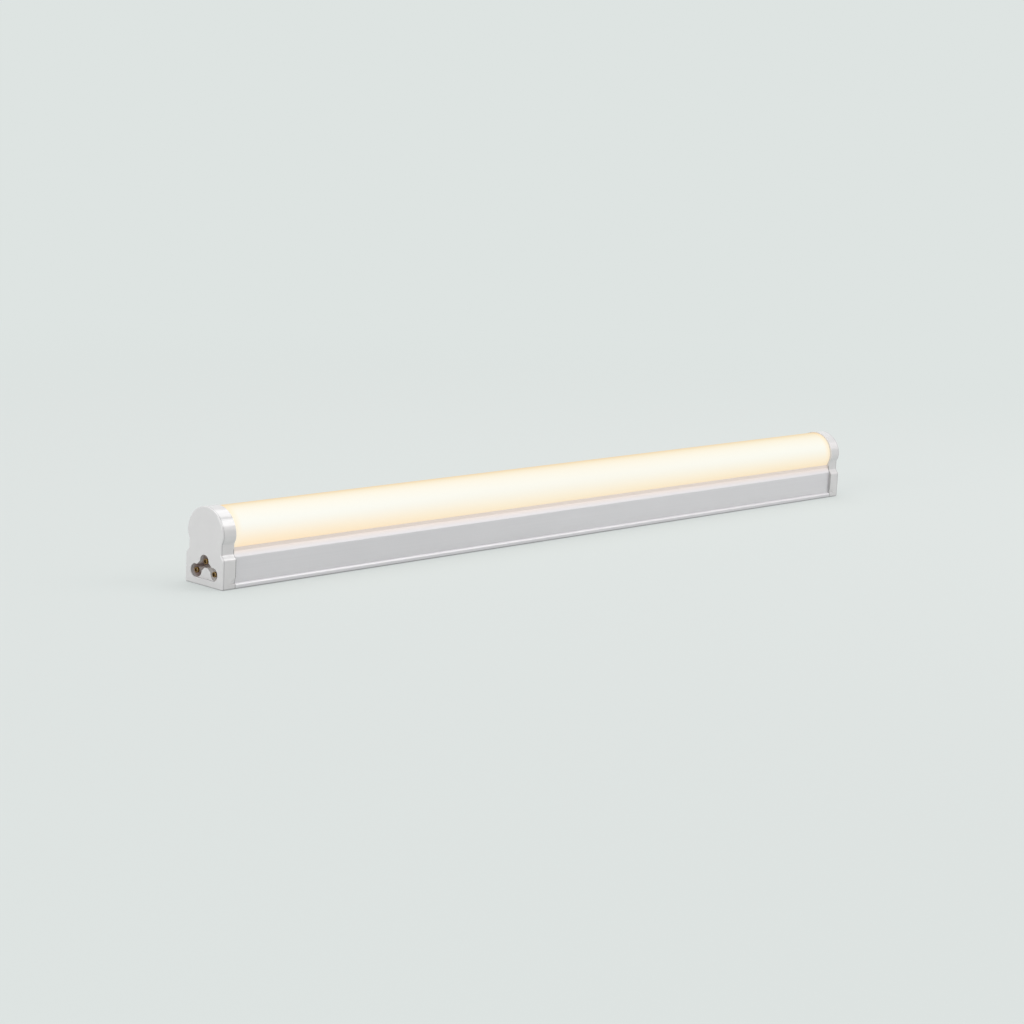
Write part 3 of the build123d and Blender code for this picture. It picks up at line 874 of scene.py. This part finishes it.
@dataclass(frozen=True)
class EndCaps:
    """The two moulded caps with their brass contacts and the plates that hold them."""

    caps: tuple[str, ...] = ("left_end_cap", "right_end_cap")
    plates: tuple[str, ...] = ("left_contact_retainer", "right_contact_retainer")
    poles: tuple[str, ...] = ("line", "neutral", "earth")
    plastic: MouldedWhite = field(default_factory=MouldedWhite)
    brass: DullBrass = field(default_factory=DullBrass)

    def build(self) -> None:
        """Dress the caps, contacts and plates."""
        half_length = span(self.caps[1])[1]
        dress(self.plastic.material(half_length), *self.caps)
        contacts = [f"{end}_{pole}_contact" for end in ("left", "right") for pole in self.poles]
        dress(self.brass.material(half_length), *contacts)
        dress(Inner.NATURAL_MOULDING.material(), *self.plates)


@dataclass(frozen=True)
class InnerWorks:
    """What lies inside: the LED board, the driver and the wiring."""

    finishes: tuple[tuple[Inner, tuple[str, ...]], ...] = (
        (Inner.WHITE_MASK, ("led_board",)),
        (Inner.PHOSPHOR, ("led_chips",)),
        (Inner.SLEEVE_FILM, ("driver_sleeve",)),
        (Inner.TAN_LAMINATE, ("driver_board",)),
        (Inner.GREEN_LACQUER, ("fuse_resistor",)),
        (Inner.BLACK_MOULDING, ("bridge_rectifier", "driver_chip", "sense_resistors")),
        (Inner.YELLOW_CASE, ("film_capacitor",)),
        (Inner.DARK_FERRITE, ("choke_coil",)),
        (Inner.SHRINK_JACKET, ("storage_capacitor",)),
        (Inner.BROWN_WIRE, ("line_wire", "driver_line_lead")),
        (Inner.BLUE_WIRE, ("neutral_wire", "driver_neutral_lead")),
        (Inner.GREEN_WIRE, ("earth_wire", "earth_bond_lead")),
        (Inner.RED_WIRE, ("led_positive_lead",)),
        (Inner.BLACK_WIRE, ("led_negative_lead",)),
        (Inner.SPRING_BRASS, ("earth_clip",)),
    )

    def build(self) -> None:
        """Dress the pieces inside."""
        for finish, nodes in self.finishes:
            dress(finish.material(), *nodes)


@dataclass(frozen=True)
class SoftLamp:
    """A flat soft lamp that faces a point of the batten.

    Attributes:
        name: The lamp's name.
        place: Where it stands.
        target: The point that it faces.
        size: Its width and height.
        watts: Its power.
        colour: Its colour.
    """

    name: str
    place: tuple[float, float, float]
    target: tuple[float, float, float]
    size: tuple[float, float]
    watts: float
    colour: Colour = (1.0, 1.0, 1.0)

    def build(self) -> None:
        """Put the lamp up."""
        light = bpy.data.lights.new(self.name, "AREA")
        light.shape = "RECTANGLE"
        light.size, light.size_y = (side * MM for side in self.size)
        light.energy = self.watts
        light.color = self.colour
        lamp = bpy.data.objects.new(self.name, light)
        lamp.location = Vector(self.place) * MM
        facing = Vector(self.target) - Vector(self.place)
        lamp.rotation_euler = facing.to_track_quat("-Z", "Y").to_euler()
        bpy.context.scene.collection.objects.link(lamp)
        LOG.info("%s lit", self.name)


@dataclass(frozen=True)
class Viewpoint:
    """The camera: its place, and its turn about Z, then X, then its own line of sight, in degrees."""

    place: tuple[float, float, float] = (-909.53, -812.90, 234.56)
    yaw: float = 47.258
    pitch: float = 10.446
    roll: float = 3.106
    focal_length: float = 87.141
    sensor: float = 36.0

    def build(self) -> None:
        """Set the camera up as the scene's own."""
        turns = ((self.roll, "Y"), (self.pitch, "X"), (self.yaw, "Z"))
        about_y, about_x, about_z = (Matrix.Rotation(radians(angle), 3, axis) for angle, axis in turns)
        right, forward, up = about_y @ about_x @ about_z
        data = bpy.data.cameras.new("viewpoint")
        data.lens = self.focal_length
        data.sensor_width = self.sensor
        camera = bpy.data.objects.new("viewpoint", data)
        pose = Matrix((right, up, -forward)).transposed().to_4x4()
        pose.translation = Vector(self.place) * MM
        camera.matrix_world = pose
        bpy.context.scene.collection.objects.link(camera)
        bpy.context.scene.camera = camera
        LOG.info("camera set")


@dataclass(frozen=True)
class Studio:
    """A plain pale floor and backdrop, soft lamps and the camera."""

    backdrop: Colour = (0.730, 0.775, 0.760)
    room_light: Colour = (0.58, 0.57, 0.57)
    floor_tone: Colour = (0.597, 0.630, 0.620)
    floor_glow: float = 0.5
    floor_near: float = 300.0
    floor_far: float = 900.0
    floor_half: float = 30000.0
    floor_gap: float = 0.05
    lamps: tuple[SoftLamp, ...] = (
        SoftLamp("overhead", (300.0, 300.0, 1800.0), (0.0, 0.0, 20.0), (2400.0, 2000.0), 24.0),
        SoftLamp("strip", (800.0, -830.0, 945.0), (-225.0, 0.0, 20.0), (700.0, 540.0), 3.3),
        SoftLamp("slope", (1175.0, -904.0, 640.0), (0.0, 0.0, 20.0), (1100.0, 600.0), 1.9, FAINT_PINK),
        SoftLamp("fill", (-1900.0, -200.0, 700.0), (-225.0, 0.0, 20.0), (1200.0, 1000.0), 12.6),
    )
    viewpoint: Viewpoint = field(default_factory=Viewpoint)

    def world(self) -> None:
        """Paint the world: the backdrop where it shows, and the room's even light elsewhere."""
        world = bpy.data.worlds.new("studio")
        paint = Paint(world)
        colour = paint.blend(paint.seen(), self.room_light, self.backdrop)
        paint.close("ShaderNodeOutputWorld", paint.node("ShaderNodeBackground", None, {"Color": colour}))
        bpy.context.scene.world = world

    def floor(self) -> None:
        """Lay the floor, which keeps a faint shadow near the batten and turns into the backdrop far away."""
        half, depth = self.floor_half * MM, -self.floor_gap * MM
        corners = [(-half, -half, depth), (half, -half, depth), (half, half, depth), (-half, half, depth)]
        mesh = bpy.data.meshes.new("floor")
        mesh.from_pydata(corners, [], [(0, 1, 2, 3)])
        paint = Paint(bpy.data.materials.new("pale_floor"))
        matt = paint.node("ShaderNodeBsdfDiffuse", None, {"Color": opaque(self.floor_tone)})
        glow = paint.node("ShaderNodeEmission", None, {"Color": opaque(self.backdrop)})
        away = paint.distance().step(self.floor_near, self.floor_far)
        share = paint.seen() * (self.floor_glow + (1.0 - self.floor_glow) * away)
        mixed = paint.node("ShaderNodeMixShader", None, {0: share, 1: matt, 2: glow})
        paint.close("ShaderNodeOutputMaterial", mixed)
        mesh.materials.append(paint.owner)
        floor = bpy.data.objects.new("floor", mesh)
        bpy.context.scene.collection.objects.link(floor)

    def build(self) -> None:
        """Set the studio up."""
        bpy.context.scene.view_settings.view_transform = "Standard"
        self.world()
        self.floor()
        for lamp in self.lamps:
            lamp.build()
        self.viewpoint.build()


def main() -> None:
    """Build the batten's dressed pieces in order, then the studio around them."""
    cover = OpalCover()
    cover.build()
    ExtrudedBody(cover).build()
    EndCaps().build()
    InnerWorks().build()
    Studio().build()


if __name__ == "__main__":
    logging.basicConfig(level=logging.INFO, format="%(message)s")
    main()
